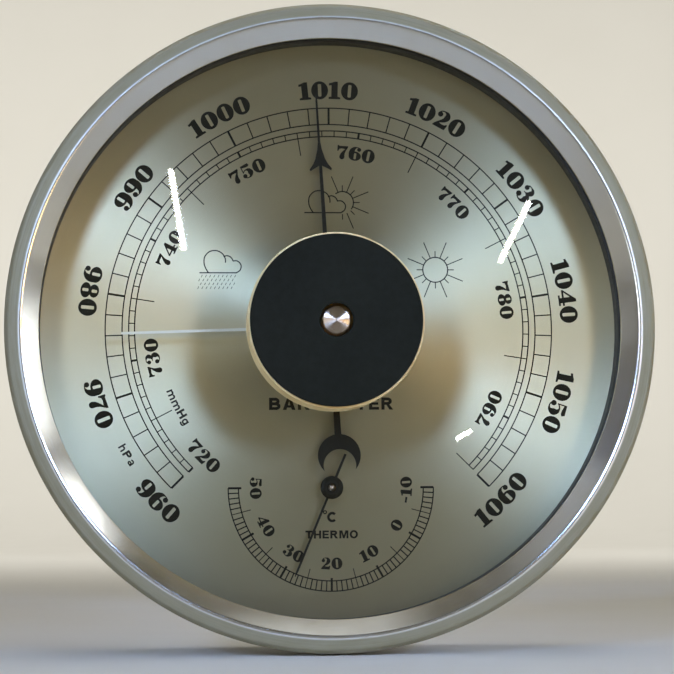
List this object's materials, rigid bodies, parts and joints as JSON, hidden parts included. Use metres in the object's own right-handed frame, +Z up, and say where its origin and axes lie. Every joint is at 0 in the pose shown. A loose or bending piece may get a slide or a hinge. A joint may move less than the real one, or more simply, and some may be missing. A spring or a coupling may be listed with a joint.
{
  "type": "ship barometer",
  "caption": "Round wall barometer with a brushed dial, pressure hand, set hand on a centre knob and a small inset thermometer.",
  "frame": {"origin": "centre of the flat rear face that lies on the wall", "axes": "+Y into the wall, +X to the right as the dial is read, +Z up; the dial faces -Y"},
  "size_m": [0.132, 0.0449, 0.132],
  "materials": {
    "bezel_steel": "spun stainless steel, satin outer band and polished inner flank",
    "case_steel": "spun stainless steel with fine turning lines",
    "dial_silver": "silvered aluminium, finely brushed in circles",
    "spacer_black": "matt black moulded ring",
    "black_rubber": "black rubber",
    "clear_glass": "clear flat glass",
    "black_hand": "satin black paint",
    "knob_black": "matt black face",
    "knob_cream": "cream side wall with a fine seam",
    "bright_steel": "bright turned steel",
    "pale_gilt": "pale gilt",
    "brass": "turned or stamped brass",
    "steel": "plain machined steel",
    "spring_steel": "blued spring strip",
    "bimetal": "bimetal strip",
    "capsule_silver": "nickel-plated corrugated capsule"
  },
  "bodies": {
    "case": {"bezel_ring": "bezel_steel", "case_shell": "case_steel", "rear_flange": "case_steel", "rear_cover": "case_steel", "hanger_plate": "steel", "hanger_rivet_1": "steel", "hanger_rivet_2": "steel", "cover_screw_1": "steel", "cover_screw_2": "steel", "cover_screw_3": "steel", "front_glass": "clear_glass", "glass_gasket": "black_rubber", "spacer_ring": "spacer_black", "dial_plate": "dial_silver", "dial_post_1": "brass", "dial_post_2": "brass", "dial_post_3": "brass", "base_plate": "steel", "front_plate": "brass", "bridge_plate": "brass", "front_pillar_1": "brass", "front_pillar_2": "brass", "front_pillar_3": "brass", "rear_pillar_1": "brass", "rear_pillar_2": "brass", "rear_pillar_3": "brass", "plate_screw_1": "steel", "plate_screw_2": "steel", "plate_screw_3": "steel", "rocker_bracket_left": "brass", "rocker_bracket_right": "brass", "aneroid_capsule": "capsule_silver", "hairspring": "spring_steel", "hairspring_stud": "brass", "glass_bush": "brass", "thermometer_bracket": "steel", "bimetal_coil": "bimetal", "thermometer_bush": "brass"},
    "set_knob": {"knob_hub": "bright_steel", "knob_disc_rear": "knob_cream", "knob_disc_front": "knob_cream", "knob_face": "knob_black", "knob_spindle": "brass", "spring_washer": "spring_steel", "set_hand": "pale_gilt"},
    "pointer": {"pressure_hand": "black_hand", "pressure_hand_hub": "brass", "pointer_arbor": "steel", "pinion": "brass", "hairspring_collet": "brass"},
    "sector": {"sector_gear": "brass", "sector_arbor": "steel"},
    "rocker": {"rocking_shaft": "steel"},
    "capsule_foot": {"capsule_post": "brass"},
    "thermometer_pointer": {"thermometer_hand": "black_hand", "thermometer_arbor": "bright_steel", "thermometer_cap": "black_hand"},
    "adjuster": {"adjusting_screw": "brass"}
  },
  "joints": [
    {"name": "pressure_hand_turn", "type": "hinge", "parent": "case", "child": "pointer", "pos_m": [0, -0.0286, 0], "axis": [0, 1, 0], "range_deg": [-131.7, 138.3]},
    {"name": "set_knob_turn", "type": "hinge", "parent": "case", "child": "set_knob", "pos_m": [0, -0.0326, 0], "axis": [0, 1, 0], "continuous": true},
    {"name": "thermometer_turn", "type": "hinge", "parent": "case", "child": "thermometer_pointer", "pos_m": [0, -0.0273, -0.03275], "axis": [0, 1, 0], "range_deg": [-112.8, 67.2]},
    {"name": "sector_turn", "type": "hinge", "parent": "case", "child": "sector", "pos_m": [-0.024, -0.0185, 0], "axis": [0, 1, 0], "range_deg": [-15.4, 14.7]},
    {"name": "rocking_shaft_turn", "type": "hinge", "parent": "case", "child": "rocker", "pos_m": [-0.018, -0.0138, -0.00085], "axis": [1, 0, 0], "range_deg": [-12.95, 13.6]},
    {"name": "capsule_post_slide", "type": "slide", "parent": "case", "child": "capsule_foot", "axis": [0, -1, 0], "range_m": [-0.000475, 0.000455]},
    {"name": "adjusting_screw_turn", "type": "hinge", "parent": "case", "child": "adjuster", "pos_m": [-0.008, -0.003, -0.00285], "axis": [0, 1, 0], "range_deg": [-360, 360]}
  ],
  "couplings": [
    {"joint": "sector_turn", "follows": "pressure_hand_turn", "ratio": -0.11111},
    {"joint": "rocking_shaft_turn", "follows": "pressure_hand_turn", "ratio": 0.098},
    {"joint": "capsule_post_slide", "follows": "pressure_hand_turn", "m_per_rad": -0.000196}
  ]
}
